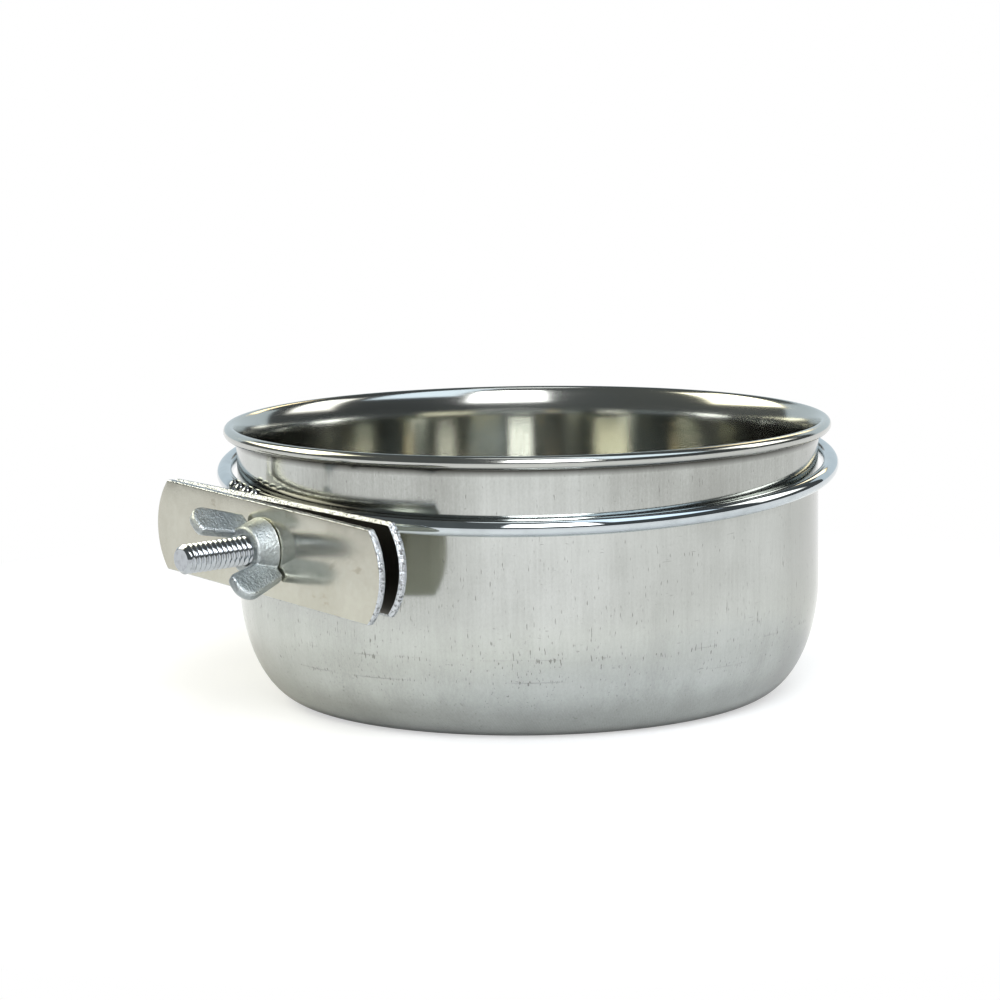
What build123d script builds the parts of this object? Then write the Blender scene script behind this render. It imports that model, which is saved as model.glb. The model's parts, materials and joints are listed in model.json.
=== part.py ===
from build123d import *
import math
import os

# A clamp-on seed cup: a drawn bowl in a wire ring, with a bolted two-plate jaw. Millimetres.
# The origin is the middle of the bowl's base, +Z is up, and the jaw stands out along -Y.

# Bowl
wall_radius = 65.1          # outside of the straight wall
bowl_height = 61.55         # table to the top of the rim
sheet = 0.75                # sheet the bowl is drawn from
corner_width = 14.2         # how far the rounded bottom corner draws the base in from the wall
corner_height = 26.0        # where that corner runs out into the straight wall
roll_bore = 0.70            # inside radius of the rolled rim
roll_end = -120.0           # degrees, where the roll stops short of the wall
rim_bend = 7.5              # height of the bend that takes the wall over into the roll

# Ring
wire_diameter = 3.7
ring_clearance = 0.85       # ring's inside to the bowl's wall
ring_lean = 4.0             # degrees, the ring hangs lower on one side
ring_low_side = 45.0        # degrees from -Y towards +X, the side that hangs low
ring_rim_gap = 0.55         # ring's highest point to the underside of the rolled rim
weld_flat = 0.15            # how far the wire is pressed flat where it is welded to the back plate

# Jaw plates
plate_length = 80.9
plate_width = 19.8
plate_thick = 1.6
plate_end_rise = 3.95       # bulge of each rounded end
plate_corner = 0.7
back_plate_offset = -1.0    # back plate's middle from the bolt, along X
back_plate_drop = 0.3       # back plate's middle below the bolt
back_plate_roll = 1.7       # degrees about the bolt, +X end low
clamp_plate_offset = 0.2
clamp_plate_hang = 0.45     # the loose plate hangs this much below the bolt's axis
clamp_plate_roll = 2.4      # degrees about the bolt, +X end low
clamp_plate_skew = 3.0      # degrees about the vertical, +X end out
jaw_end_gap = 0.9           # between the plates where the skewed one comes nearest
clamp_hole = 7.6

# Carriage bolt
bolt_diameter = 6.35
bolt_length = 27.75         # under the head to the tip
bolt_tip_chamfer = 0.8
neck_fit = 0.03             # square neck in its hole, each side
head_diameter = 10.0
head_height = 2.4
head_edge = 0.6             # straight rim of the head, below its dome
head_ring_gap = 0.5         # head's edge to the ring's wire above it

# Wing nut
nut_bore_clearance = 0.05
hub_base_radius = 6.6
hub_top_radius = 5.0
hub_height = 4.8
hub_round = 0.7
nut_seat_gap = 0.04         # where the nut's edge meets the skewed plate
wing_turn = 48.5            # degrees from upright towards -X
wing_height = 12.7          # top of the wings above the nut's seat
wing_foot = 9.1             # where a wing's outer edge starts, from the bolt's axis
wing_outer = 13.9           # outer top corner from the axis, before rounding
wing_outer_round = 3.2
wing_inner = 6.4            # inner top corner from the axis, before rounding
wing_inner_round = 1.6
wing_start = 0.3            # underside of the wings above the seat
wing_thick = 2.4
wing_round = 0.7

tiny = 0.001                # tells touching from clear


def sine(angle):
    return math.sin(math.radians(angle))


def cosine(angle):
    return math.cos(math.radians(angle))


# Rim and ring
roll_radius = roll_bore + sheet
rim_underside = bowl_height - 2 * roll_radius
wire_radius = wire_diameter / 2
ring_radius = wall_radius + ring_clearance + wire_radius
ring_centre_z = rim_underside - ring_rim_gap - wire_radius - ring_radius * sine(ring_lean)
ring_axis = Vector(
    sine(ring_lean) * sine(ring_low_side),
    -sine(ring_lean) * cosine(ring_low_side),
    cosine(ring_lean),
)
ring_plane = Plane(origin=(0, 0, ring_centre_z), z_dir=ring_axis)

# The wire's centre where the ring comes nearest to the back plate
outwards = Vector(0, -1, 0)
ring_reach = (outwards - ring_axis * outwards.dot(ring_axis)).normalized()
weld_point = ring_plane.origin + ring_reach * ring_radius

# Jaw, measured outwards along the bolt from the back plate's inner face
jaw_face = weld_point.Y - wire_radius + weld_flat
bolt_z = weld_point.Z - wire_radius - head_ring_gap - head_diameter / 2
jaw_gap = jaw_end_gap + plate_length / 2 * sine(clamp_plate_skew)
clamp_face = plate_thick + jaw_gap
skew_rise = hub_base_radius * sine(clamp_plate_skew) / cosine(clamp_plate_skew)
nut_seat = clamp_face + plate_thick + skew_rise + nut_seat_gap

# Bolt frame: local Z runs outwards along the bolt, local X is the part's X, local Y is up
bolt_plane = Plane(origin=(0, jaw_face, bolt_z), x_dir=(1, 0, 0), z_dir=(0, -1, 0))


def bowl():
    base_radius = wall_radius - corner_width
    wall_inside = wall_radius - sheet
    roll_centre = (wall_radius + roll_radius, bowl_height - roll_radius)
    bend_width = roll_centre[0] - wall_inside
    bend_centre = (roll_centre[0], bowl_height - rim_bend)
    roll_sweep = roll_end - 90
    corner_centre = (base_radius, corner_height)
    inner_width = corner_width - sheet
    inner_height = corner_height - sheet

    base = Line((0, 0), (base_radius, 0))
    corner = EllipticalCenterArc(corner_centre, corner_width, corner_height, -90, arc_size=90)
    wall = Line(corner @ 1, (wall_radius, bend_centre[1]))
    bend_under = EllipticalCenterArc(bend_centre, bend_width - sheet, rim_bend - sheet, 90, arc_size=90)
    roll_inside = CenterArc(roll_centre, roll_bore, 90, roll_sweep)
    roll_outside = CenterArc(roll_centre, roll_radius, 90, roll_sweep)
    roll_tip = Line(roll_inside @ 1, roll_outside @ 1)
    bend_over = EllipticalCenterArc(bend_centre, bend_width, rim_bend, 90, arc_size=90)
    inner_wall = Line((wall_inside, bend_centre[1]), (wall_inside, corner_height))
    inner_corner = EllipticalCenterArc(corner_centre, inner_width, inner_height, -90, arc_size=90)
    inner_base = Line((base_radius, sheet), (0, sheet))
    axis = Line((0, sheet), (0, 0))
    outer = [base, corner, wall, bend_under, roll_inside, roll_tip]
    inner = [roll_outside, bend_over, inner_wall, inner_corner, inner_base, axis]
    return revolve(Plane.XZ * make_face(outer + inner), Axis.Z)


def support_ring():
    wire = ring_plane * Torus(ring_radius, wire_radius)
    pressed = bolt_plane * extrude(Rectangle(plate_length, plate_length), wire_diameter)
    return wire - pressed


def plate_blank():
    half_length = plate_length / 2
    half_width = plate_width / 2
    shoulder = half_length - plate_end_rise
    top = Line((-shoulder, half_width), (shoulder, half_width))
    right = ThreePointArc((shoulder, half_width), (half_length, 0), (shoulder, -half_width))
    bottom = Line((shoulder, -half_width), (-shoulder, -half_width))
    left = ThreePointArc((-shoulder, -half_width), (-half_length, 0), (-shoulder, half_width))
    outline = make_face([top, right, bottom, left])
    return fillet(outline.vertices(), plate_corner)


def back_plate():
    square = bolt_diameter + 2 * neck_fit
    blank = Pos(back_plate_offset, -back_plate_drop) * plate_blank() - Rectangle(square, square)
    return bolt_plane * Rot(0, 0, -back_plate_roll) * extrude(blank, plate_thick)


def clamp_plate():
    blank = plate_blank() - Circle(clamp_hole / 2)
    hang = Pos(clamp_plate_offset, -clamp_plate_hang, clamp_face)
    turned = Rot(0, -clamp_plate_skew, 0) * Rot(0, 0, -clamp_plate_roll)
    return bolt_plane * hang * turned * extrude(blank, plate_thick)


def dome_radius(half_width, rise):
    return (half_width ** 2 + rise ** 2) / (2 * rise)


def carriage_bolt():
    radius = bolt_diameter / 2
    head_radius = head_diameter / 2
    shank = extrude(Circle(radius), bolt_length)
    shank = chamfer(shank.edges().sort_by(Axis.Z)[-1], bolt_tip_chamfer)
    neck = Rot(0, 0, -back_plate_roll) * extrude(Rectangle(bolt_diameter, bolt_diameter), plate_thick)
    rim = Line((head_radius, 0), (head_radius, -head_edge))
    dome = RadiusArc(rim @ 1, (0, -head_height), dome_radius(head_radius, head_height - head_edge))
    flat = Line((0, 0), (head_radius, 0))
    axis = Line((0, -head_height), (0, 0))
    head = revolve(Plane.XZ * make_face([flat, rim, dome, axis]), Axis.Z)
    return bolt_plane * (shank + neck + head)


def wing():
    root = (hub_top_radius + bolt_diameter / 2) / 2
    heel = (root, wing_start)
    foot = (wing_foot, wing_start)
    outer_corner = Vector(wing_outer, wing_height)
    inner_corner = Vector(wing_inner, wing_height)
    hub_end = (root, hub_height - hub_round)
    outline = make_face(Polyline(heel, foot, outer_corner, inner_corner, hub_end, close=True))
    for corner, rounding in ((outer_corner, wing_outer_round), (inner_corner, wing_inner_round)):
        outline = fillet(outline.vertices().sort_by_distance(corner)[0], rounding)
    tab = Plane.XZ * extrude(outline, wing_thick / 2, both=True)
    rims = tab.faces().filter_by(Axis.Y).edges()
    soft = [edge for edge in rims if edge.center().X > root + tiny and edge.center().Z > wing_start + tiny]
    return fillet(soft, wing_round)


def wing_nut():
    base = Line((0, 0), (hub_base_radius, 0))
    side = Line((hub_base_radius, 0), (hub_top_radius, hub_height))
    top = Line((hub_top_radius, hub_height), (0, hub_height))
    axis = Line((0, hub_height), (0, 0))
    hub = revolve(Plane.XZ * make_face([base, side, top, axis]), Axis.Z)
    hub = fillet(hub.edges().sort_by(Axis.Z)[-1], hub_round)
    wings = [Rot(0, 0, way) * wing() for way in (0, 180)]
    bore = extrude(Circle(bolt_diameter / 2 + nut_bore_clearance), wing_height)
    nut = hub + wings - bore
    return bolt_plane * Pos(0, 0, nut_seat) * Rot(0, 0, 90 + wing_turn) * nut


pieces = {
    "bowl": bowl(),
    "support_ring": support_ring(),
    "back_plate": back_plate(),
    "carriage_bolt": carriage_bolt(),
    "clamp_plate": clamp_plate(),
    "wing_nut": wing_nut(),
}
os.makedirs("parts", exist_ok=True)
for name, solid in pieces.items():
    solid.label = name
    export_step(solid, f"parts/{name}.step")
    print(f"{name}: volume {solid.volume:.0f} mm3")
print(f"jaw face y {jaw_face:.3f}, bolt z {bolt_z:.3f}, jaw gap {jaw_gap:.3f}, nut seat {nut_seat:.3f}")
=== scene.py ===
import json
import math

import bmesh
import bpy
from mathutils import Matrix, Vector


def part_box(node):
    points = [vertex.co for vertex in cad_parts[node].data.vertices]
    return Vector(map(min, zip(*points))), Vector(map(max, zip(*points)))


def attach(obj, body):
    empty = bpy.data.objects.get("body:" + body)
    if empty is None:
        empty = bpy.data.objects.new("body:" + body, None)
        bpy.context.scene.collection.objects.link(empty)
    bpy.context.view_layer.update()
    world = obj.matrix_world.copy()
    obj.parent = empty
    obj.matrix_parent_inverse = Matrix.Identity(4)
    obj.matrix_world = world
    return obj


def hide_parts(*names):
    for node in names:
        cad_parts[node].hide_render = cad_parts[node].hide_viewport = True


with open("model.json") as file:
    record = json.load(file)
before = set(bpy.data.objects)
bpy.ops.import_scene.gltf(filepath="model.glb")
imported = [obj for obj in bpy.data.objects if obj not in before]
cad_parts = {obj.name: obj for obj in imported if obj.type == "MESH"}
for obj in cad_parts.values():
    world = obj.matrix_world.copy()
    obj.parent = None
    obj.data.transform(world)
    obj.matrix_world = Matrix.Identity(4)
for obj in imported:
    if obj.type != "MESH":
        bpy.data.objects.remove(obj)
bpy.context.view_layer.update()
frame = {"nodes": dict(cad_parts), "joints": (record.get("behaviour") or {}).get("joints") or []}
scene = bpy.context.scene
mm = 0.001
mergeWithin = 1e-7      # metres, vertices this close become one
dissolveUnder = 1e-8    # metres, shorter edges are taken out
onAxis = 1e-6           # millimetres, a smaller ring is one point on the axis
print("frame loaded:", ", ".join(sorted(frame["nodes"])))


class Wire:
    # an output socket; arithmetic on it adds Math nodes to its tree
    def __init__(self, graph, socket):
        self.graph = graph
        self.socket = socket

    def other(self, name):
        return Wire(self.graph, self.socket.node.outputs[name])

    def __add__(self, value):
        return self.graph.maths("ADD", self, value)

    def __radd__(self, value):
        return self.graph.maths("ADD", value, self)

    def __sub__(self, value):
        return self.graph.maths("SUBTRACT", self, value)

    def __rsub__(self, value):
        return self.graph.maths("SUBTRACT", value, self)

    def __mul__(self, value):
        return self.graph.maths("MULTIPLY", self, value)

    def __rmul__(self, value):
        return self.graph.maths("MULTIPLY", value, self)

    def __truediv__(self, value):
        return self.graph.maths("DIVIDE", self, value)

    def __rtruediv__(self, value):
        return self.graph.maths("DIVIDE", value, self)

    def __abs__(self):
        return self.graph.maths("ABSOLUTE", self)

    def least(self, value):
        return self.graph.maths("MINIMUM", self, value)

    def most(self, value):
        return self.graph.maths("MAXIMUM", self, value)

    def swing(self, amount):
        # noise about its middle, half the amount either way
        return (self - 0.5) * amount

    def line(self, start, gain):
        return start + self * gain


class Graph:
    def __init__(self, tree):
        self.tree = tree

    def node(self, kind, settings=None, sockets=None, out=0):
        made = self.tree.nodes.new(kind)
        for key, value in (settings or {}).items():
            setattr(made, key, value)
        for key, value in (sockets or {}).items():
            plug(made, key, value)
        return Wire(self, made.outputs[out]) if len(made.outputs) else None

    def maths(self, operation, first, second=0.0):
        return self.node("ShaderNodeMath", {"operation": operation}, {0: first, 1: second})

    def blend(self, factor, first, second):
        # a Mix node takes its two colours in sockets 6 and 7 and gives one in output 2
        return self.node("ShaderNodeMix", {"data_type": "RGBA"}, {0: factor, 6: first, 7: second}, out=2)

    def spot(self):
        return self.node("ShaderNodeTexCoord").other("Object")

    def apart(self, spot):
        return self.node("ShaderNodeSeparateXYZ", None, {0: spot})

    def mark(self, name):
        # a number that the mesh carries on its faces or vertices
        return self.node("ShaderNodeAttribute", {"attribute_name": name}).other("Fac")

    def noise(self, spot, scale, detail, rough):
        # scale is one number, or one for each axis
        scales = scale if isinstance(scale, tuple) else (scale, scale, scale)
        stretched = self.node("ShaderNodeMapping", None, {"Vector": spot, "Scale": scales})
        sockets = {"Vector": stretched, "Scale": 1.0, "Detail": detail, "Roughness": rough}
        return self.node("ShaderNodeTexNoise", None, sockets)

    def span(self, value, limits, ends=(0.0, 1.0), ease="LINEAR"):
        # takes the limits to the ends, and stays at an end beyond its limit
        sockets = {"Value": value, "From Min": limits[0], "From Max": limits[1],
                   "To Min": ends[0], "To Max": ends[1]}
        return self.node("ShaderNodeMapRange", {"clamp": True, "interpolation_type": ease}, sockets)

    def fade(self, value, limits):
        return self.span(value, limits, (1.0, 0.0))

    def bump(self, relief, strength, distance):
        sockets = {"Strength": strength, "Distance": distance, "Height": relief}
        return self.node("ShaderNodeBump", None, sockets)


def plug(node, name, value):
    if isinstance(value, Wire):
        value.graph.tree.links.new(value.socket, node.inputs[name])
    else:
        node.inputs[name].default_value = value


def newFinish(name):
    finish = bpy.data.materials.new(name)
    finish.use_nodes = True
    return finish, Graph(finish.node_tree), finish.node_tree.nodes["Principled BSDF"]


def plugMetal(shader, colour, rough, bump):
    for name, value in (("Base Color", colour), ("Metallic", 1.0), ("Roughness", rough), ("Normal", bump)):
        plug(shader, name, value)


def metres(limits):
    return [limit * mm for limit in limits]


def place(name, data):
    piece = bpy.data.objects.new(name, data)
    scene.collection.objects.link(piece)
    return piece


def tidyMesh(mesh, sharpAngle):
    work = bmesh.new()
    work.from_mesh(mesh)
    bmesh.ops.remove_doubles(work, verts=work.verts, dist=mergeWithin)
    bmesh.ops.dissolve_degenerate(work, edges=work.edges, dist=dissolveUnder)
    bmesh.ops.recalc_face_normals(work, faces=work.faces)
    for face in work.faces:
        face.smooth = True
    work.to_mesh(mesh)
    work.free()
    mesh.set_sharp_from_angle(angle=math.radians(sharpAngle))


def evaluated(piece):
    # the piece's mesh with its modifiers applied
    return bpy.data.meshes.new_from_object(piece.evaluated_get(bpy.context.evaluated_depsgraph_get()))


def arcPoints(centre, radius, start, sweep, count, radiusUp=None):
    # angles in degrees; radiusUp makes it an ellipse
    points = []
    for step in range(count + 1):
        turn = math.radians(start + sweep * step / count)
        across = radius * math.cos(turn)
        up = (radiusUp or radius) * math.sin(turn)
        points.append((centre[0] + across, centre[1] + up))
    return points


def lathe(name, profile, around):
    # profile is a list of (radius, height) from axis to axis, in millimetres
    mesh = bpy.data.meshes.new(name)
    work = bmesh.new()
    rings = []
    for radius, height in profile:
        if radius < onAxis:
            rings.append([work.verts.new((0, 0, height * mm))])
            continue
        ring = []
        for step in range(around):
            turn = 2 * math.pi * step / around
            spot = (radius * mm * math.cos(turn), radius * mm * math.sin(turn), height * mm)
            ring.append(work.verts.new(spot))
        rings.append(ring)
    for low, high in zip(rings, rings[1:]):
        for step in range(around):
            after = (step + 1) % around
            if len(low) == 1:
                work.faces.new((low[0], high[after], high[step]))
            elif len(high) == 1:
                work.faces.new((low[step], low[after], high[0]))
            else:
                work.faces.new((low[step], low[after], high[after], high[step]))
    work.to_mesh(mesh)
    work.free()
    return mesh


def newTree(name, inputs, finish):
    # inputs is a list of (name, socket type); the tree ends in Realize Instances and Set Material
    tree = bpy.data.node_groups.new(name, "GeometryNodeTree")
    tree.interface.new_socket("Geometry", in_out="OUTPUT", socket_type="NodeSocketGeometry")
    for title, kind in inputs:
        tree.interface.new_socket(title, in_out="INPUT", socket_type=kind)
    graph = Graph(tree)
    start = graph.node("NodeGroupInput")
    sizes = {title: start.other(title) for title, kind in inputs}

    def end(geometry):
        whole = graph.node("GeometryNodeRealizeInstances", None, {"Geometry": geometry})
        dressed = graph.node("GeometryNodeSetMaterial", None, {"Geometry": whole, "Material": finish})
        graph.node("NodeGroupOutput", None, {"Geometry": dressed})
        return tree

    return graph, sizes, end


def runTree(name, tree, values):
    # runs a Geometry Nodes tree and keeps what it makes as a plain mesh
    piece = place(name, bpy.data.meshes.new(name))
    modifier = piece.modifiers.new("make", "NODES")
    modifier.node_group = tree
    for item in tree.interface.items_tree:
        if item.item_type == "SOCKET" and item.in_out == "INPUT":
            modifier[item.identifier] = values[item.name]
    mesh = evaluated(piece)
    piece.modifiers.remove(modifier)
    piece.data = mesh
    return piece


# bowl: drawn sheet with a rounded bottom corner and a rolled rim
bowlSizes = {
    "wallRadius": 65.1, "height": 61.55, "sheet": 0.75,
    "cornerWidth": 14.2, "cornerHeight": 26.0, "rimBend": 7.5,
    "rollBore": 0.70, "rollEnd": -120.0, "insideLean": 0.7,
    "rimShare": 0.7,    # part of the bend's height that is finished as the rim
    "baseRings": (0.4, 0.8), "wallLevels": (38.0, 50.0), "insideLevels": (50.0, 44.0, 38.0, 32.0),
    "cornerSteps": 40, "underSteps": 12, "boreSteps": 20, "rollSteps": 36, "overSteps": 24,
    "around": 320, "sharpAngle": 50,
}


def bowlProfile(size):
    wall = size["wallRadius"]
    sheet = size["sheet"]
    cornerWidth = size["cornerWidth"]
    cornerHeight = size["cornerHeight"]
    rimBend = size["rimBend"]
    base = wall - cornerWidth
    inside = wall - sheet
    roll = size["rollBore"] + sheet
    rollCentre = (wall + roll, size["height"] - roll)
    bend = rollCentre[0] - inside
    bendCentre = (rollCentre[0], size["height"] - rimBend)
    cornerCentre = (base, cornerHeight)
    # the ironed wall is a little thicker towards the top
    lean = math.tan(math.radians(size["insideLean"]))
    innerBend = bend + lean * (bendCentre[1] - cornerHeight)
    sweep = size["rollEnd"] - 90
    outer = [(0, 0)] + [(base * share, 0) for share in size["baseRings"]]
    outer += arcPoints(cornerCentre, cornerWidth, -90, 90, size["cornerSteps"], cornerHeight)
    outer += [(wall, level) for level in size["wallLevels"]]
    outer += arcPoints(bendCentre, bend - sheet, 180, -90, size["underSteps"], rimBend - sheet)
    outer += arcPoints(rollCentre, size["rollBore"], 90, sweep, size["boreSteps"])[1:]
    inner = arcPoints(rollCentre, roll, size["rollEnd"], -sweep, size["rollSteps"])
    inner += arcPoints(bendCentre, innerBend, 90, 90, size["overSteps"], rimBend)[1:]
    inner += [(inside - lean * (level - cornerHeight), level) for level in size["insideLevels"]]
    inner += arcPoints(cornerCentre, cornerWidth - sheet, 0, -90, size["cornerSteps"], cornerHeight - sheet)
    inner += [(base * share, sheet) for share in reversed(size["baseRings"])] + [(0, sheet)]
    return outer, inner


satinLook = {
    # painted light among these colours: bright is a painted sheen, upper a painted shade, and the last a
    # painted shade under the roll
    "light": (0.58, 0.60, 0.575, 1), "dull": (0.465, 0.48, 0.455, 1), "dark": (0.16, 0.155, 0.14, 1),
    "bright": (0.71, 0.735, 0.715, 1), "upper": (0.38, 0.39, 0.365, 1), "rollShade": (0.05, 0.048, 0.042, 1),
    "roughness": 0.115, "bump": (0.04, 0.0003),
    # heights and widths in millimetres
    "dieLines": (18.6, 13.6), "bandFade": (0.0, 0.8), "bandWave": 2.0,
    "lineFade": (0.0, 0.22), "lineWave": 1.2, "lineShake": 0.3,
    "drawnRise": (11.0, 17.0), "drawnFade": (22.0, 40.0), "sideSheenRise": (18.0, 32.0),
    "cornerSheenRise": (6.0, 10.0), "cornerSheenFade": (12.0, 18.0), "hatchFade": (2.0, 11.0),
    "upperShadeRise": (44.5, 47.5), "rollShadeRise": (56.9, 58.4),
    # degrees from +X, clockwise from above, and how near to that side each mark or painted light starts and
    # is full
    "marksSide": 40.0, "marksNear": (0.35, 1.0), "sideSheenNear": (0.95, 1.0), "lineNear": (0.1, 0.6),
    "unshadedSide": 105.0, "unshadedNear": (0.93, 0.98), "sideShadeAt": -33.0, "sideShadeNear": (0.93, 1.0),
    # where a pattern starts to show and is full
    "patchRise": (0.40, 0.62), "markRise": (0.715, 0.79), "scratchRise": (0.74, 0.80),
    "linePatch": (0.50, 0.64),
    # how strongly each shows; a rate is a start and what the drawn side or the streaks add to it
    "markShare": 0.6, "scratchShare": 0.30, "lineShare": 0.30, "sideShadeShare": 0.75, "dullShare": 0.42,
    "bandRate": (0.05, 0.11), "drawnRate": (0.03, 0.035), "upperShadeRate": (0.35, 0.6),
    "hatchAround": 620, "hatchUp": 5200,
}


def satinFinish(look):
    # drawn outside: soft clouds, thin upright draw marks, faint die lines, fine hatching by the base;
    # painted sheen on the drawn side and at the lower corner, painted shade above the ring, down one side
    # and under the roll
    finish, graph, shader = newFinish("bowlSatin")
    spot = graph.spot()
    apart = graph.apart(spot)
    height = apart.other("Z")
    angle = graph.maths("ARCTAN2", apart.other("Y"), apart.other("X"))
    fine = graph.noise(spot, (1700, 1700, 60), detail=4.0, rough=0.6)
    broad = graph.noise(spot, (150, 150, 22), detail=4.0, rough=0.55)
    cloud = graph.noise(spot, (42, 42, 55), detail=4.0, rough=0.55)
    dash = graph.noise(spot, (2900, 2900, 520), detail=1.0, rough=0.4)
    patch = graph.noise(spot, (95, 95, 120), detail=2.0, rough=0.5)
    scratch = graph.noise(spot, (900, 300, 2200), detail=1.0, rough=0.4)
    speck = graph.noise(spot, (2300, 2300, 1500), detail=2.0, rough=0.6)

    def near(side):
        return graph.maths("COSINE", angle + math.radians(look[side]))

    def rise(name):
        return graph.span(height, metres(look[name]))

    def fade(name):
        return graph.fade(height, metres(look[name]))

    # marks gather on the side that was drawn hardest
    side = graph.span(near("marksSide"), look["marksNear"])
    bands = 0.0
    lines = 0.0
    for level in look["dieLines"]:
        above = height - level * mm
        bandAway = abs(above + cloud.swing(look["bandWave"] * mm))
        bands = graph.fade(bandAway, metres(look["bandFade"])) + bands
        lineAway = abs(above + (cloud.swing(look["lineWave"] * mm) + fine.swing(look["lineShake"] * mm)))
        lines = graph.fade(lineAway, metres(look["lineFade"])) + lines
    drawn = rise("drawnRise") * fade("drawnFade")
    rate = bands * side.line(*look["bandRate"]) + drawn * side.line(*look["drawnRate"])
    marks = graph.span(dash + rate * graph.span(patch, look["patchRise"]), look["markRise"])
    scratches = graph.span(scratch, look["scratchRise"]) * look["scratchShare"]
    lines = lines * graph.span(patch, look["linePatch"]) * graph.span(side, look["lineNear"])
    lines = lines * look["lineShare"]
    hatch = graph.maths("SINE", angle * look["hatchAround"] + height * look["hatchUp"])
    low = fade("hatchFade")
    streaks = fine.swing(0.8) + broad.swing(1.3) + cloud.swing(1.6) + speck.swing(0.7)
    streaks = streaks + hatch * low * 0.10 + look["dullShare"]
    shade = graph.blend(streaks.most(0.0).least(1.0), look["light"], look["dull"])
    # painted sheen, standing in for brighter reflections: lighter on the drawn side and all round the lower
    # corner
    sideSheen = graph.span(near("marksSide"), look["sideSheenNear"]) * rise("sideSheenRise")
    cornerSheen = rise("cornerSheenRise") * fade("cornerSheenFade")
    shade = graph.blend(sideSheen.most(cornerSheen) * (0.75 - streaks * 0.5).most(0.0), shade, look["bright"])
    # painted shade above the ring, left out on one side and where the sheen is, and painted shade down the
    # wall on another side
    unshaded = graph.span(near("unshadedSide"), look["unshadedNear"])
    sideShade = graph.span(near("sideShadeAt"), look["sideShadeNear"])
    upper = rise("upperShadeRise") * (1 - sideSheen * 0.8) * (1 - unshaded * 0.9) * streaks.line(*look["upperShadeRate"])
    shade = graph.blend(upper.most(sideShade * look["sideShadeShare"]), shade, look["upper"])
    shade = graph.blend((marks * look["markShare"]).most(scratches).most(lines), shade, look["dark"])
    # painted shade under the roll
    shade = graph.blend(rise("rollShadeRise"), shade, look["rollShade"])
    rough = look["roughness"] + cloud.swing(0.10) + broad.swing(0.06) + low * 0.05 + marks * 0.15
    relief = fine * 0.5 + broad * 0.5 + hatch * low * 0.12
    plugMetal(shader, shade, rough, graph.bump(relief, *look["bump"]))
    return finish


# the rim's steel is a darker copy of the inside's: painted shade that dims the rim's reflections
rimLook = {
    "light": (0.54, 0.55, 0.525, 1), "dull": (0.50, 0.51, 0.485, 1), "roughness": 0.14, "along": 0.0,
    # painted shade on the roll's underside, by height and by radius in millimetres
    "under": (0.16, 0.155, 0.145, 1), "underFade": (58.8, 59.6), "outsideRise": (66.0, 66.4),
}
insideLook = {
    "light": (0.62, 0.628, 0.595, 1), "dull": (0.585, 0.593, 0.56, 1), "roughness": 0.10, "along": 0.95,
}
polishLook = {
    "turned": (30, 30, 1800), "cloud": 45, "dullRise": (0.35, 0.75), "uneven": 0.03,
    "turn": 0.25, "bump": (0.004, 0.0002),
}


def polishFinish(name, look, polish):
    # polished while spinning: the fine turned lines spread reflections up and down
    finish, graph, shader = newFinish(name)
    spot = graph.spot()
    turned = graph.noise(spot, polish["turned"], detail=3.0, rough=0.6)
    cloud = graph.noise(spot, polish["cloud"], detail=3.0, rough=0.5)
    shade = graph.blend(graph.span(cloud, polish["dullRise"]), look["light"], look["dull"])
    if "under" in look:
        # painted shade under the roll
        apart = graph.apart(spot)
        x, y = apart.other("X"), apart.other("Y")
        across = graph.maths("SQRT", x * x + y * y)
        under = graph.fade(apart.other("Z"), metres(look["underFade"]))
        outside = graph.span(across, metres(look["outsideRise"]))
        shade = graph.blend(under * outside, shade, look["under"])
    rough = look["roughness"] + cloud.swing(polish["uneven"]) + turned.swing(polish["uneven"])
    plugMetal(shader, shade, rough, graph.bump(turned, *polish["bump"]))
    plug(shader, "Anisotropic", look["along"])
    plug(shader, "Anisotropic Rotation", polish["turn"])
    return finish


outerLine, innerLine = bowlProfile(bowlSizes)
bowlMesh = lathe("drawnBowl", outerLine + innerLine, bowlSizes["around"])
bowl = place("drawnBowl", bowlMesh)
bowlMesh.materials.append(satinFinish(satinLook))
bowlMesh.materials.append(polishFinish("bowlRim", rimLook, polishLook))
bowlMesh.materials.append(polishFinish("bowlInside", insideLook, polishLook))
polishedFrom = (len(outerLine) - 1) * bowlSizes["around"]
rimFrom = (bowlSizes["height"] - bowlSizes["rimBend"] * bowlSizes["rimShare"]) * mm
for face in bowlMesh.polygons:
    if face.index >= polishedFrom:
        face.material_index = 1 if face.center.z > rimFrom else 2
tidyMesh(bowlMesh, bowlSizes["sharpAngle"])
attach(bowl, "bowl")
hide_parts("bowl")
print("bowl:", len(bowlMesh.polygons), "faces")


# ring: one hoop of wire, leaning
ringSizes = {
    "wireRadius": 1.85, "hoopRadius": 67.8, "lean": 4.0, "lowSide": 45.0,
    "rimGap": 0.55, "around": 320, "wireSides": 32, "sharpAngle": 60,
}
# weld on the wire behind the plate, in degrees from the plate's middle: ripples on one side, painted shade
# along it
weldSizes = {
    "first": -11.0, "last": -21.0, "ripples": 4, "radius": 1.6, "stretch": 0.85,
    "outwards": 0.45, "upwards": 0.75, "segments": 24, "rings": 16,
    "weldShade": (-24.0, 16.0), "weldShadeFade": 3.0,
    "proud": 1.95, "crest": 0.3,    # further out than proud, only this share of the painted shade is given
}


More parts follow.
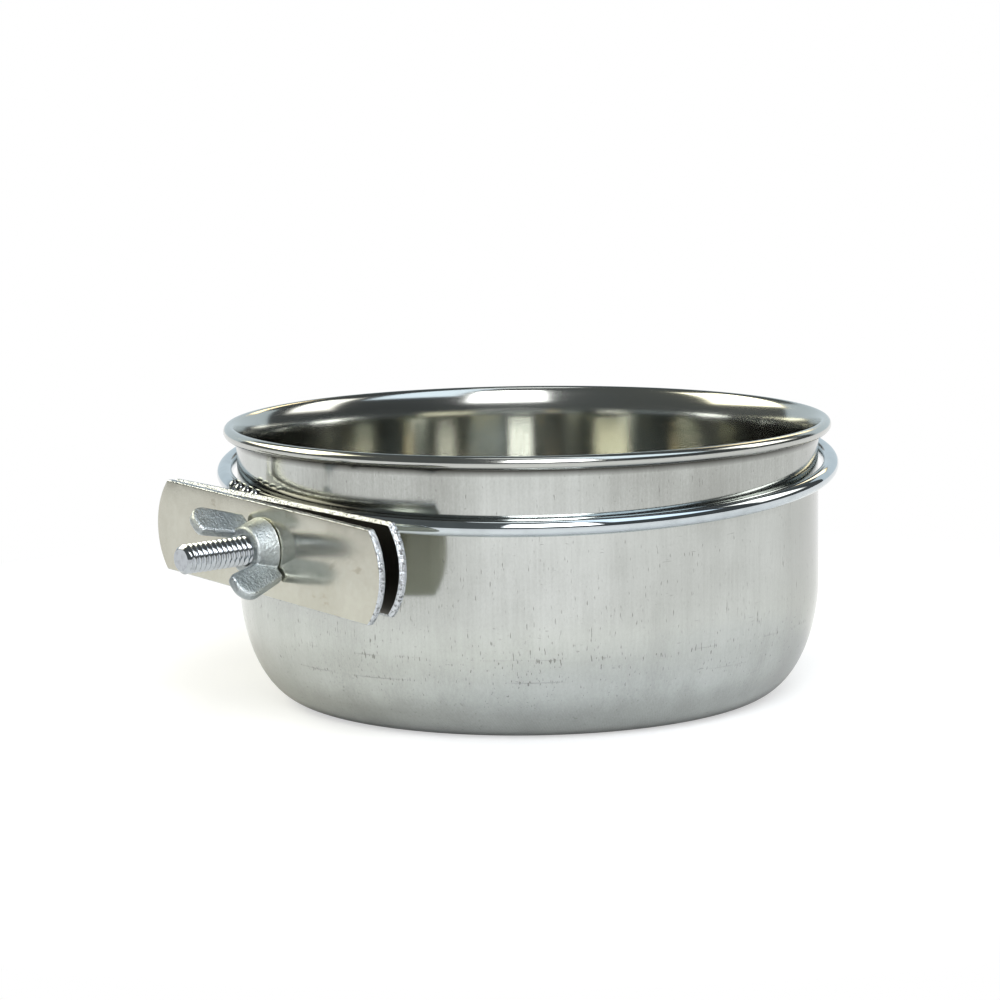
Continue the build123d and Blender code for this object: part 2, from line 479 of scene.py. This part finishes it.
def ringTree(finish):
    inputs = [("Hoop Radius", "NodeSocketFloat"), ("Wire Radius", "NodeSocketFloat"),
              ("Around", "NodeSocketInt"), ("Wire Sides", "NodeSocketInt")]
    graph, sizes, end = newTree("hoopOfWire", inputs, finish)
    hoop = graph.node("GeometryNodeCurvePrimitiveCircle", None,
                      {"Resolution": sizes["Around"], "Radius": sizes["Hoop Radius"]})
    wire = graph.node("GeometryNodeCurvePrimitiveCircle", None,
                      {"Resolution": sizes["Wire Sides"], "Radius": sizes["Wire Radius"]})
    swept = graph.node("GeometryNodeCurveToMesh", None, {"Curve": hoop, "Profile Curve": wire})
    return end(swept)


chromeLook = {
    "light": (0.60, 0.65, 0.68, 1), "dull": (0.50, 0.54, 0.56, 1), "roughness": 0.05, "grain": 160,
    # the colour of the painted shade on the wire behind the plate
    "weldShade": (0.085, 0.085, 0.088, 1),
}
platingLook = {"dullRise": (0.45, 0.8), "dullRough": 0.2, "bump": (0.03, 0.0003)}


def chromeFinish(name, look, plating):
    # bright plating with faint clouds, darkened with painted shade where the mesh says so
    finish, graph, shader = newFinish(name)
    cloud = graph.noise(graph.spot(), look["grain"], detail=3.0, rough=0.55)
    shade = graph.blend(graph.span(cloud, plating["dullRise"]), look["light"], look["dull"])
    if "weldShade" in look:
        shade = graph.blend(graph.mark("weldShade"), shade, look["weldShade"])
    rough = look["roughness"] + (cloud - 0.5).most(0.0) * plating["dullRough"]
    plugMetal(shader, shade, rough, graph.bump(cloud, *plating["bump"]))
    return finish


ringValues = {
    "Hoop Radius": ringSizes["hoopRadius"] * mm, "Wire Radius": ringSizes["wireRadius"] * mm,
    "Around": ringSizes["around"], "Wire Sides": ringSizes["wireSides"],
}
ringChrome = chromeFinish("ringChrome", chromeLook, platingLook)
ring = runTree("wireHoop", ringTree(ringChrome), ringValues)
lean = math.radians(ringSizes["lean"])
lowSide = math.radians(ringSizes["lowSide"])
rollHeight = 2 * (bowlSizes["rollBore"] + bowlSizes["sheet"])
ringTop = bowlSizes["height"] - rollHeight - ringSizes["rimGap"] - ringSizes["wireRadius"]
ringLevel = ringTop - ringSizes["hoopRadius"] * math.sin(lean)
ringCentre = Vector((0, 0, ringLevel))
ringAxis = Vector((math.sin(lean) * math.sin(lowSide), -math.sin(lean) * math.cos(lowSide), math.cos(lean)))


def weldRipples(mesh, weld, radius):
    # turn is from the plate's middle, -Y, towards +X
    work = bmesh.new()
    work.from_mesh(mesh)
    for ripple in range(weld["ripples"]):
        share = ripple / (weld["ripples"] - 1)
        turn = math.radians(weld["first"] + (weld["last"] - weld["first"]) * share)
        outwards = Vector((math.sin(turn), -math.cos(turn), 0))
        outwards = (outwards - ringAxis * outwards.dot(ringAxis)).normalized()
        middle = outwards * (radius + weld["outwards"]) + ringAxis * weld["upwards"] + ringCentre
        seat = Matrix.Translation(middle * mm) @ Matrix.Rotation(turn, 4, "Z")
        seat = seat @ Matrix.Diagonal((weld["stretch"], 1, 1, 1))
        bmesh.ops.create_uvsphere(work, u_segments=weld["segments"], v_segments=weld["rings"],
                                  radius=weld["radius"] * mm, matrix=seat)
    work.to_mesh(mesh)
    work.free()


def markWeldShade(mesh, weld, radius):
    # painted shade on the wire and the weld ripples behind the plate, less on the ripples' crests
    weldShadeMark = mesh.attributes.new("weldShade", "FLOAT", "POINT")
    low, high = weld["weldShade"]
    for vertex, entry in zip(mesh.vertices, weldShadeMark.data):
        turn = math.degrees(math.atan2(vertex.co.x, -vertex.co.y))
        spot = vertex.co / mm - ringCentre
        above = spot.dot(ringAxis)
        away = math.hypot((spot - ringAxis * above).length - radius, above)
        share = weld["crest"] if away > weld["proud"] else 1.0
        entry.value = share * min(1.0, max(0.0, min(turn - low, high - turn) / weld["weldShadeFade"]))


ringTurn = Vector((0, 0, 1)).rotation_difference(ringAxis).to_matrix().to_4x4()
ring.data.transform(Matrix.Translation((0, 0, ringLevel * mm)) @ ringTurn)
weldRipples(ring.data, weldSizes, ringSizes["hoopRadius"])
markWeldShade(ring.data, weldSizes, ringSizes["hoopRadius"])
tidyMesh(ring.data, ringSizes["sharpAngle"])
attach(ring, "bracket")
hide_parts("support_ring")
print("ring:", len(ring.data.polygons), "faces")


# jaw: two stamped plates on the bolt
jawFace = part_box("back_plate")[1].y
boltHeight = [joint for joint in frame["joints"] if joint["name"] == "wing_nut_turn"][0]["pos_m"][2]
# local Z runs outwards along the bolt, local Y is up
boltFrame = Matrix(((1, 0, 0, 0), (0, 0, -1, jawFace), (0, 1, 0, boltHeight), (0, 0, 0, 1)))
plateSizes = {
    "length": 80.9, "width": 19.8, "thick": 1.6, "endRise": 3.95, "corner": 0.7, "leastCorner": 0.05,
    "edgeRound": 0.32, "edgeSteps": 4, "endSteps": 24, "cornerSteps": 4, "sharpAngle": 40,
    "edgeSlope": 0.9, "faceWithin": 1e-6,    # tell a plate's edge and its inner face from the rest
}
backPlateSizes = {"offset": (-1.0, -0.3), "roll": 1.7, "squareHole": 6.41, "jawCut": 0.7}
clampPlateSizes = {
    "offset": (0.2, -0.45), "roll": 2.4, "skew": 3.0, "gap": 3.017, "hole": 3.8, "holeSteps": 48,
}


def plateOutline(size, inset):
    # drawn in by the inset: one end's arc between its two rounded corners, then the same turned round
    wide = size["width"] / 2
    rise = size["endRise"]
    endRadius = (wide * wide + rise * rise) / (2 * rise)
    centre = size["length"] / 2 - endRadius
    corner = max(size["corner"] - inset, size["leastCorner"])
    # corner circle touches the straight edge and the end's arc from inside
    cornerY = wide - inset - corner
    cornerX = centre + math.sqrt((endRadius - inset - corner) ** 2 - cornerY ** 2)
    tangent = math.degrees(math.atan2(cornerY, cornerX - centre))
    lower = arcPoints((cornerX, -cornerY), corner, -90, 90 - tangent, size["cornerSteps"])
    end = arcPoints((centre, 0), endRadius - inset, -tangent, 2 * tangent, size["endSteps"])
    upper = arcPoints((cornerX, cornerY), corner, tangent, 90 - tangent, size["cornerSteps"])
    right = lower + end[1:-1] + upper
    return right + [(-x, -y) for x, y in right]


def plateRows(size, jawLevel, jawCut):
    # the edge as (inset, level), from the outer face to the face inside the jaw, which may be cut off flat
    thick = size["thick"]
    soft = size["edgeRound"]
    rows = [(soft + x, soft + y) for x, y in arcPoints((0, 0), soft, -90, -90, size["edgeSteps"])]
    if jawCut:
        rows += [(0, thick - jawCut), (jawCut, thick)]
    else:
        rows += [(inset, thick - level) for inset, level in reversed(rows)]
    if jawLevel == 0:
        rows = [(inset, thick - level) for inset, level in rows]
    return rows


def rowVerts(work, points, shift, level):
    spots = [((x + shift[0]) * mm, (y + shift[1]) * mm, level * mm) for x, y in points]
    return [work.verts.new(spot) for spot in spots]


def loopEdges(work, verts):
    return [work.edges.get(pair) or work.edges.new(pair) for pair in zip(verts, verts[1:] + verts[:1])]


def bandFaces(work, low, high):
    for corners in zip(low, low[1:] + low[:1], high[1:] + high[:1], high):
        work.faces.new(corners)


def stampedPlate(name, size, hole, shift, jawLevel, jawCut):
    mesh = bpy.data.meshes.new(name)
    work = bmesh.new()
    rows = plateRows(size, jawLevel, jawCut)
    loops = [rowVerts(work, plateOutline(size, inset), shift, level) for inset, level in rows]
    for low, high in zip(loops, loops[1:]):
        bandFaces(work, low, high)
    bores = [rowVerts(work, hole, (0, 0), level) for level in (rows[0][1], rows[-1][1])]
    bandFaces(work, bores[0], bores[1])
    for loop, bore in ((loops[0], bores[0]), (loops[-1], bores[1])):
        bmesh.ops.triangle_fill(work, edges=loopEdges(work, loop) + loopEdges(work, bore), use_beauty=True)
    bmesh.ops.recalc_face_normals(work, faces=work.faces)
    work.to_mesh(mesh)
    work.free()
    # marks the stamped edge, which is brighter than the faces, and the face inside the jaw, which gets
    # painted shade
    edges = [abs(face.normal.z) < size["edgeSlope"] for face in mesh.polygons]
    jawShadeFaces = [abs(face.center.z - jawLevel * mm) < size["faceWithin"] for face in mesh.polygons]
    for title, marked in (("edge", edges), ("inner", jawShadeFaces)):
        mark = mesh.attributes.new(title, "FLOAT", "FACE")
        for entry, value in zip(mark.data, marked):
            entry.value = 1.0 if value else 0.0
    return place(name, mesh)


nickelLook = {
    "light": (0.585, 0.58, 0.505, 1), "dull": (0.525, 0.515, 0.44, 1), "edge": (0.64, 0.67, 0.71, 1),
    "torn": (0.11, 0.11, 0.11, 1), "stain": (0.34, 0.29, 0.19, 1), "inner": (0.15, 0.145, 0.132, 1),
    "roughness": 0.17, "bump": (0.5, 0.0003),
    # where a pattern starts to show and is full
    "dullRise": (0.4, 0.65), "stainRise": (0.62, 0.74), "stainPatch": (0.5, 0.62), "pitRise": (0.76, 0.80),
    "tornRise": (0.53, 0.62),
    "stainShare": 0.6, "pitShare": 0.3, "tornShare": 0.8,
}


def nickelFinish(look):
    # plated sheet: faint mottling, a few brown stains, rough bright sheared edges, painted shade inside the
    # jaw
    finish, graph, shader = newFinish("plateNickel")
    spot = graph.spot()
    edge = graph.mark("edge")
    inner = graph.mark("inner")
    mottle = graph.noise(spot, 520, detail=4.0, rough=0.6)
    cloud = graph.noise(spot, 70, detail=3.0, rough=0.5)
    stain = graph.noise(spot, (190, 190, 300), detail=3.0, rough=0.6)
    pits = graph.noise(spot, 2600, detail=1.0, rough=0.5)
    shear = graph.noise(spot, 1500, detail=3.0, rough=0.7)
    dulled = graph.span(cloud * 0.6 + mottle * 0.4, look["dullRise"])
    shade = graph.blend(dulled, look["light"], look["dull"])
    stains = graph.span(stain, look["stainRise"]) * graph.span(cloud, look["stainPatch"])
    stains = stains * look["stainShare"]
    spots = graph.span(pits, look["pitRise"]) * look["pitShare"]
    shade = graph.blend(stains.most(spots), shade, look["stain"])
    # painted shade: the faces inside the narrow jaw are darkened
    shade = graph.blend(inner, shade, look["inner"])
    torn = graph.span(shear, look["tornRise"]) * look["tornShare"]
    sheared = graph.blend(torn, look["edge"], look["torn"])
    shade = graph.blend(edge, shade, sheared)
    rough = look["roughness"] + cloud.swing(0.10) + stains * 0.2 - edge * 0.05 + inner * 0.15
    relief = pits * 0.02 + mottle * 0.05 + shear * edge * 2.6
    plugMetal(shader, shade, rough, graph.bump(relief, *look["bump"]))
    return finish


nickel = nickelFinish(nickelLook)
side = backPlateSizes["squareHole"] / 2
squareHole = [(-side, -side), (side, -side), (side, side), (-side, side)]
backPlate = stampedPlate("backPlate", plateSizes, squareHole, backPlateSizes["offset"],
                         plateSizes["thick"], backPlateSizes["jawCut"])
backTurn = Matrix.Rotation(math.radians(-backPlateSizes["roll"]), 4, "Z")
backPlate.data.transform(boltFrame @ backTurn)
roundHole = arcPoints((0, 0), clampPlateSizes["hole"], 0, 360, clampPlateSizes["holeSteps"])[:-1]
clampPlate = stampedPlate("clampPlate", plateSizes, roundHole, (0, 0), 0, 0)
hang = Vector((*clampPlateSizes["offset"], plateSizes["thick"] + clampPlateSizes["gap"])) * mm
skew = Matrix.Rotation(math.radians(-clampPlateSizes["skew"]), 4, "Y")
clampTurn = skew @ Matrix.Rotation(math.radians(-clampPlateSizes["roll"]), 4, "Z")
clampPlate.data.transform(boltFrame @ Matrix.Translation(hang) @ clampTurn)
for piece, body, node in ((backPlate, "bracket", "back_plate"), (clampPlate, "clamp_plate", "clamp_plate")):
    piece.data.materials.append(nickel)
    tidyMesh(piece.data, plateSizes["sharpAngle"])
    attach(piece, body)
    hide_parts(node)
print("plates:", len(backPlate.data.polygons) + len(clampPlate.data.polygons), "faces")


# bolt: round head, square neck and a rolled thread
boltSizes = {
    "crestRadius": 3.13, "rootRadius": 2.56, "tipRadius": 2.38, "pitch": 1.27,
    "start": 1.0, "end": 27.75, "rowsPerPitch": 14, "around": 56, "sharpAngle": 40,
    "headRadius": 5.0, "headHeight": 2.4, "headEdge": 0.6, "domeSteps": 12, "headSides": 64, "neck": 6.35,
}
boltLook = {"light": (0.50, 0.53, 0.56, 1), "dull": (0.38, 0.40, 0.42, 1), "roughness": 0.09, "grain": 700}
# a flank's share of the pitch, and whole turns that keep the phase above 0
threadForm = {"flank": 0.46, "turnsBefore": 100.0}


def threadTree(form, finish):
    lengths = ("Crest Radius", "Root Radius", "Tip Radius", "Pitch", "Start", "End", "Run")
    inputs = [(title, "NodeSocketFloat") for title in lengths]
    inputs += [(title, "NodeSocketInt") for title in ("Around", "Rows")]
    graph, sizes, end = newTree("rolledThread", inputs, finish)
    gridSockets = {"Size X": 1.0, "Size Y": 1.0, "Vertices X": sizes["Around"], "Vertices Y": sizes["Rows"]}
    grid = graph.node("GeometryNodeMeshGrid", None, gridSockets)
    spot = graph.apart(graph.node("GeometryNodeInputPosition"))
    turn = spot.other("X") + 0.5
    # run of the surface from the middle of one end face, along the thread, to the middle of the other
    level = (spot.other("Y") + 0.5) * sizes["Run"]
    first = sizes["Start"] - sizes["Tip Radius"] - sizes["Pitch"]
    along = first + level + turn * sizes["Pitch"]
    phase = graph.maths("FRACT", (first + level) / sizes["Pitch"] + form["turnsBefore"])
    ridge = 0.5 - abs(phase - 0.5)
    flank = graph.span(ridge, (0.0, form["flank"]), ease="SMOOTHSTEP")
    threadRadius = sizes["Root Radius"] + flank * (sizes["Crest Radius"] - sizes["Root Radius"])
    # both ends taper to the tip's radius and then close flat
    endTaper = sizes["Tip Radius"] + (sizes["End"] - along).most(0.0)
    startTaper = sizes["Tip Radius"] + (along - sizes["Start"]).most(0.0)
    beyond = (along - sizes["End"]).most(0.0)
    before = (sizes["Start"] - along).most(0.0)
    radius = (threadRadius.least(endTaper).least(startTaper) - beyond - before).most(0.0)
    height = along.least(sizes["End"]).most(sizes["Start"])
    angle = turn * (2 * math.pi)
    x = radius * graph.maths("COSINE", angle)
    y = radius * graph.maths("SINE", angle)
    point = graph.node("ShaderNodeCombineXYZ", None, {"X": x, "Y": y, "Z": height})
    bent = graph.node("GeometryNodeSetPosition", None, {"Geometry": grid, "Position": point})
    closed = graph.node("GeometryNodeMergeByDistance", None, {"Geometry": bent, "Distance": mergeWithin})
    return end(closed)


def boltHead(size):
    rise = size["headHeight"] - size["headEdge"]
    dome = (size["headRadius"] ** 2 + rise ** 2) / (2 * rise)
    spread = math.degrees(math.asin(size["headRadius"] / dome))
    profile = [(0, 0), (size["headRadius"], 0), (size["headRadius"], -size["headEdge"])]
    domeCentre = (0, dome - size["headHeight"])
    profile += arcPoints(domeCentre, dome, spread - 90, -spread, size["domeSteps"])[1:-1]
    return lathe("boltHead", profile + [(0, -size["headHeight"])], size["headSides"])


boltRun = boltSizes["end"] - boltSizes["start"] + 2 * boltSizes["tipRadius"] + boltSizes["pitch"]
boltRows = math.ceil(boltRun / boltSizes["pitch"] * boltSizes["rowsPerPitch"]) + 1
boltValues = {
    "Crest Radius": boltSizes["crestRadius"] * mm, "Root Radius": boltSizes["rootRadius"] * mm,
    "Tip Radius": boltSizes["tipRadius"] * mm, "Pitch": boltSizes["pitch"] * mm,
    "Start": boltSizes["start"] * mm, "End": boltSizes["end"] * mm,
    "Around": boltSizes["around"] + 1, "Rows": boltRows,
    "Run": (boltRows - 1) * boltSizes["pitch"] * mm / boltSizes["rowsPerPitch"],
}
boltChrome = chromeFinish("boltChrome", boltLook, platingLook)
bolt = runTree("threadedBolt", threadTree(threadForm, boltChrome), boltValues)
work = bmesh.new()
work.from_mesh(bolt.data)
work.from_mesh(boltHead(boltSizes))
neckSize = Matrix.Diagonal((boltSizes["neck"] * mm, boltSizes["neck"] * mm, plateSizes["thick"] * mm, 1))
neckMiddle = Matrix.Translation((0, 0, plateSizes["thick"] * mm / 2))
bmesh.ops.create_cube(work, size=1.0, matrix=backTurn @ neckMiddle @ neckSize)
work.to_mesh(bolt.data)
work.free()
bolt.data.transform(boltFrame)
tidyMesh(bolt.data, boltSizes["sharpAngle"])
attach(bolt, "bracket")
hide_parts("carriage_bolt")
print("bolt:", len(bolt.data.polygons), "faces")


# wing nut: the solid's own form, softened as a casting
nutSizes = {
    "mergeWithin": 0.001, "voxel": 0.16, "smoothing": 0.5, "passes": 8,
    "wearReach": 3, "wearFrom": 160.0, "wearFull": 500.0,    # bend of the surface, per metre
}
zincLook = {
    "light": (0.51, 0.555, 0.57, 1), "dull": (0.27, 0.297, 0.307, 1), "worn": (0.66, 0.70, 0.71, 1),
    "roughness": 0.44, "bump": (1.0, 0.0003), "dullRise": (0.38, 0.66), "wornRise": (0.55, 0.85),
}


def zincFinish(look):
    # die casting: grainy skin, rubbed bright along its edges
    finish, graph, shader = newFinish("nutZinc")
    spot = graph.spot()
    grain = graph.noise(spot, 1700, detail=3.0, rough=0.65)
    cloud = graph.noise(spot, 300, detail=3.0, rough=0.55)
    dulled = graph.span(grain * 0.5 + cloud * 0.5, look["dullRise"])
    shade = graph.blend(dulled, look["light"], look["dull"])
    rub = graph.mark("worn") * graph.span(cloud + grain * 0.5, look["wornRise"])
    shade = graph.blend(rub, shade, look["worn"])
    rough = look["roughness"] + grain.swing(0.2) - rub * 0.18
    plugMetal(shader, shade, rough, graph.bump(grain * 0.9 + cloud * 0.5, *look["bump"]))
    return finish


def markWear(mesh, size):
    # outward bend of the surface, smoothed over a few rings of vertices
    work = bmesh.new()
    work.from_mesh(mesh)
    bend = []
    for vertex in work.verts:
        around = [edge.other_vert(vertex).co for edge in vertex.link_edges]
        middle = sum(around, Vector()) / len(around)
        length = sum((spot - vertex.co).length for spot in around) / len(around)
        bend.append((vertex.co - middle).dot(vertex.normal) / (length * length))
    for step in range(size["wearReach"]):
        bend = [
            (bend[vertex.index] + sum(bend[edge.other_vert(vertex).index] for edge in vertex.link_edges))
            / (1 + len(vertex.link_edges))
            for vertex in work.verts
        ]
    work.free()
    wornMark = mesh.attributes.new("worn", "FLOAT", "POINT")
    for value, entry in zip(bend, wornMark.data):
        share = (value - size["wearFrom"]) / (size["wearFull"] - size["wearFrom"])
        entry.value = min(1.0, max(0.0, share))


def castNut(size):
    mesh = frame["nodes"]["wing_nut"].data.copy()
    work = bmesh.new()
    work.from_mesh(mesh)
    bmesh.ops.remove_doubles(work, verts=work.verts, dist=size["mergeWithin"] * mm)
    work.to_mesh(mesh)
    work.free()
    mesh.materials.clear()
    casting = place("castNut", mesh)
    remesh = casting.modifiers.new("voxels", "REMESH")
    remesh.mode = "VOXEL"
    remesh.voxel_size = size["voxel"] * mm
    smooth = casting.modifiers.new("soften", "SMOOTH")
    smooth.factor = size["smoothing"]
    smooth.iterations = size["passes"]
    softened = evaluated(casting)
    casting.modifiers.clear()
    casting.data = softened
    for face in softened.polygons:
        face.use_smooth = True
    return casting


nut = castNut(nutSizes)
markWear(nut.data, nutSizes)
nut.data.materials.append(zincFinish(zincLook))
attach(nut, "wing_nut")
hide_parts("wing_nut")
print("wing nut:", len(nut.data.polygons), "faces")


# camera: where the photograph was taken from
view = {
    "side": 47.56,                                          # degrees round the bowl
    "distance": 0.7459, "height": 0.1499, "nearest": 0.01,  # metres
    "pitch": 0.14229, "yaw": -0.00842, "roll": -0.01432,    # radians
    "focal": 3345.5, "imageWidth": 1000,                    # pixels
    "sensor": 36.0,                                         # millimetres
}


def placeCamera(size):
    camera = bpy.data.cameras.new("camera")
    camera.sensor_fit = "HORIZONTAL"
    camera.sensor_width = size["sensor"]
    camera.lens = size["focal"] / size["imageWidth"] * camera.sensor_width
    camera.clip_start = size["nearest"]
    seat = place("camera", camera)
    turn = Matrix.Rotation(math.radians(size["side"]), 3, "Z")
    level = math.cos(size["pitch"])
    ahead = Vector((math.sin(size["yaw"]) * level, math.cos(size["yaw"]) * level, -math.sin(size["pitch"])))
    right = Vector((math.cos(size["yaw"]), -math.sin(size["yaw"]), 0))
    up = right.cross(ahead)
    tilt = Matrix.Rotation(-size["roll"], 3, ahead)
    right, up = turn @ tilt @ right, turn @ tilt @ up
    ahead = turn @ ahead
    spot = turn @ Vector((0, -size["distance"], size["height"]))
    seat.matrix_world = Matrix((
        (right.x, up.x, -ahead.x, spot.x),
        (right.y, up.y, -ahead.y, spot.y),
        (right.z, up.z, -ahead.z, spot.z),
        (0, 0, 0, 1),
    ))
    scene.camera = seat


placeCamera(view)
print("camera placed")


# stage: pale floor and surroundings, soft light boxes, and dark screens behind them
floorLook = {
    "size": 3.0, "colour": (0.48, 0.49, 0.50, 1), "roughness": 0.9, "cameraLift": 0.55, "lift": 0.42,
    "shadeTo": 0.046, "plainFrom": 0.10, "plainTo": 0.24,
}
# directions in degrees: across is from straight behind the bowl towards the right, up is above the table
lightBoxes = {
    "rightBox": {"across": (58, 90), "up": (14, 48), "colour": (1.0, 0.98, 0.92, 1),
                 "strength": 5.2, "soft": 0.30},
    "leftBox": {"across": (-96, -42), "up": (16, 52), "colour": (1.0, 0.95, 0.74, 1),
                "strength": 6.4, "soft": 0.16},
    "topBox": {"across": (98, 150), "up": (34, 88), "colour": (0.87, 1.0, 1.12, 1),
               "strength": 1.6, "soft": 0.08},
    "backBox": {"across": (15, 30), "up": (20, 42), "colour": (1.0, 0.83, 0.54, 1),
                "strength": 3.2, "soft": 0.10},
    "frontBox": {"across": (153, 190), "up": (16, 60), "colour": (1.0, 1.0, 1.0, 1),
                 "strength": 11.0, "soft": 0.20},
    "overheadBox": {"across": (-180, 180), "up": (79, 90), "colour": (0.97, 1.0, 1.0, 1), "strength": 1.2},
}
darkScreens = {
    "rightScreen": {"across": (46, 160), "up": (-1, 90), "colour": (0.88, 0.97, 1.0, 1), "strength": 0.08},
    "frontScreen": {"across": (160, 220), "up": (-1, 90), "colour": (0.92, 1.0, 1.0, 1), "strength": 0.12},
    "leftScreen": {"across": (220, 314), "up": (-1, 90), "colour": (0.93, 1.0, 0.98, 1), "strength": 0.12},
    "backScreen": {"across": (-46, 46), "up": (26, 90), "colour": (0.85, 0.97, 1.0, 1), "strength": 0.12},
}
studio = {
    "boxReach": 1.5, "screenReach": 2.2, "height": 0.05, "steps": 24,
    "fill": (0.25, 0.25, 0.25, 1), "wall": (0.66, 0.75, 0.80, 1), "backdrop": (1, 1, 1, 1),
}


def stageFloor(look):
    # takes the shadow near the bowl, and is plain white to the camera and in metal further out
    mesh = bpy.data.meshes.new("floor")
    work = bmesh.new()
    bmesh.ops.create_grid(work, x_segments=1, y_segments=1, size=look["size"])
    work.to_mesh(mesh)
    work.free()
    floor = place("floor", mesh)
    finish, graph, shader = newFinish("paleFloor")
    plug(shader, "Base Color", look["colour"])
    plug(shader, "Roughness", look["roughness"])
    plug(shader, "Specular IOR Level", 0.0)
    path = graph.node("ShaderNodeLightPath")
    camera = path.other("Is Camera Ray")
    seen = camera.most(path.other("Is Glossy Ray")).most(path.other("Is Transmission Ray"))
    away = graph.node("ShaderNodeVectorMath", {"operation": "LENGTH"}, {0: graph.spot()}).other("Value")
    clear = graph.span(away, (look["shadeTo"], look["plainFrom"])) * look["lift"]
    glow = (seen * clear).most(camera * look["cameraLift"])
    lift = graph.node("ShaderNodeEmission", None, {"Strength": glow})
    white = graph.node("ShaderNodeEmission", None, {"Strength": seen})
    lit = graph.node("ShaderNodeAddShader", None, {0: Wire(graph, shader.outputs[0]), 1: lift})
    plain = graph.span(away, (look["plainFrom"], look["plainTo"]))
    mixed = graph.node("ShaderNodeMixShader", None, {0: plain, 1: lit, 2: white})
    plug(finish.node_tree.nodes["Material Output"], "Surface", mixed)
    mesh.materials.append(finish)


def stageCard(name, card, reach):
    # a patch of a sphere round the bowl, with a UV map from corner to corner
    mesh = bpy.data.meshes.new(name)
    work = bmesh.new()
    corner = work.loops.layers.uv.new("card")
    steps = studio["steps"]
    grid = []
    for row in range(steps + 1):
        up = math.radians(card["up"][0] + (card["up"][1] - card["up"][0]) * row / steps)
        line = []
        for column in range(steps + 1):
            across = card["across"][0] + (card["across"][1] - card["across"][0]) * column / steps
            turn = math.radians(across - view["side"])
            away = reach * math.cos(up)
            spot = (away * math.sin(turn), away * math.cos(turn), reach * math.sin(up) + studio["height"])
            line.append(work.verts.new(spot))
        grid.append(line)
    for row in range(steps):
        for column in range(steps):
            face = work.faces.new((grid[row][column], grid[row][column + 1],
                                   grid[row + 1][column + 1], grid[row + 1][column]))
            for loop, (right, above) in zip(face.loops, ((0, 0), (1, 0), (1, 1), (0, 1))):
                loop[corner].uv = ((column + right) / steps, (row + above) / steps)
    work.to_mesh(mesh)
    work.free()
    return place(name, mesh)


def glowFinish(name, card):
    finish = bpy.data.materials.new(name)
    finish.use_nodes = True
    finish.node_tree.nodes.clear()
    graph = Graph(finish.node_tree)
    strength = card["strength"]
    if "soft" in card:
        spot = graph.apart(graph.node("ShaderNodeUVMap", {"uv_map": "card"}))
        inset = (0.5 - abs(spot.other("X") - 0.5)).least(0.5 - abs(spot.other("Y") - 0.5))
        strength = graph.span(inset, (0.0, card["soft"]), (0.0, card["strength"]))
    glow = graph.node("ShaderNodeEmission", None, {"Color": card["colour"], "Strength": strength})
    graph.node("ShaderNodeOutputMaterial", None, {"Surface": glow})
    return finish


def stageCards(cards, reach, lights):
    # seen only in reflections, and as light where they are lights
    for name, card in cards.items():
        piece = stageCard(name, card, reach)
        piece.data.materials.append(glowFinish(name, card))
        piece.visible_camera = False
        piece.visible_diffuse = lights
        piece.visible_shadow = lights


def surroundings(look):
    # white to the camera, a pale blue wall in metal, a soft fill for everything else
    world = bpy.data.worlds.new("surroundings")
    scene.world = world
    world.use_nodes = True
    graph = Graph(world.node_tree)
    background = world.node_tree.nodes["Background"]
    path = graph.node("ShaderNodeLightPath")
    seen = path.other("Is Glossy Ray").most(path.other("Is Transmission Ray"))
    metal = graph.blend(seen, look["fill"], look["wall"])
    plug(background, "Color", graph.blend(path.other("Is Camera Ray"), metal, look["backdrop"]))
    plug(background, "Strength", 1.0)


stageFloor(floorLook)
stageCards(lightBoxes, studio["boxReach"], True)
stageCards(darkScreens, studio["screenReach"], False)
surroundings(studio)
print("stage lit:", len(lightBoxes), "light boxes")
scene.view_settings.view_transform = "Standard"
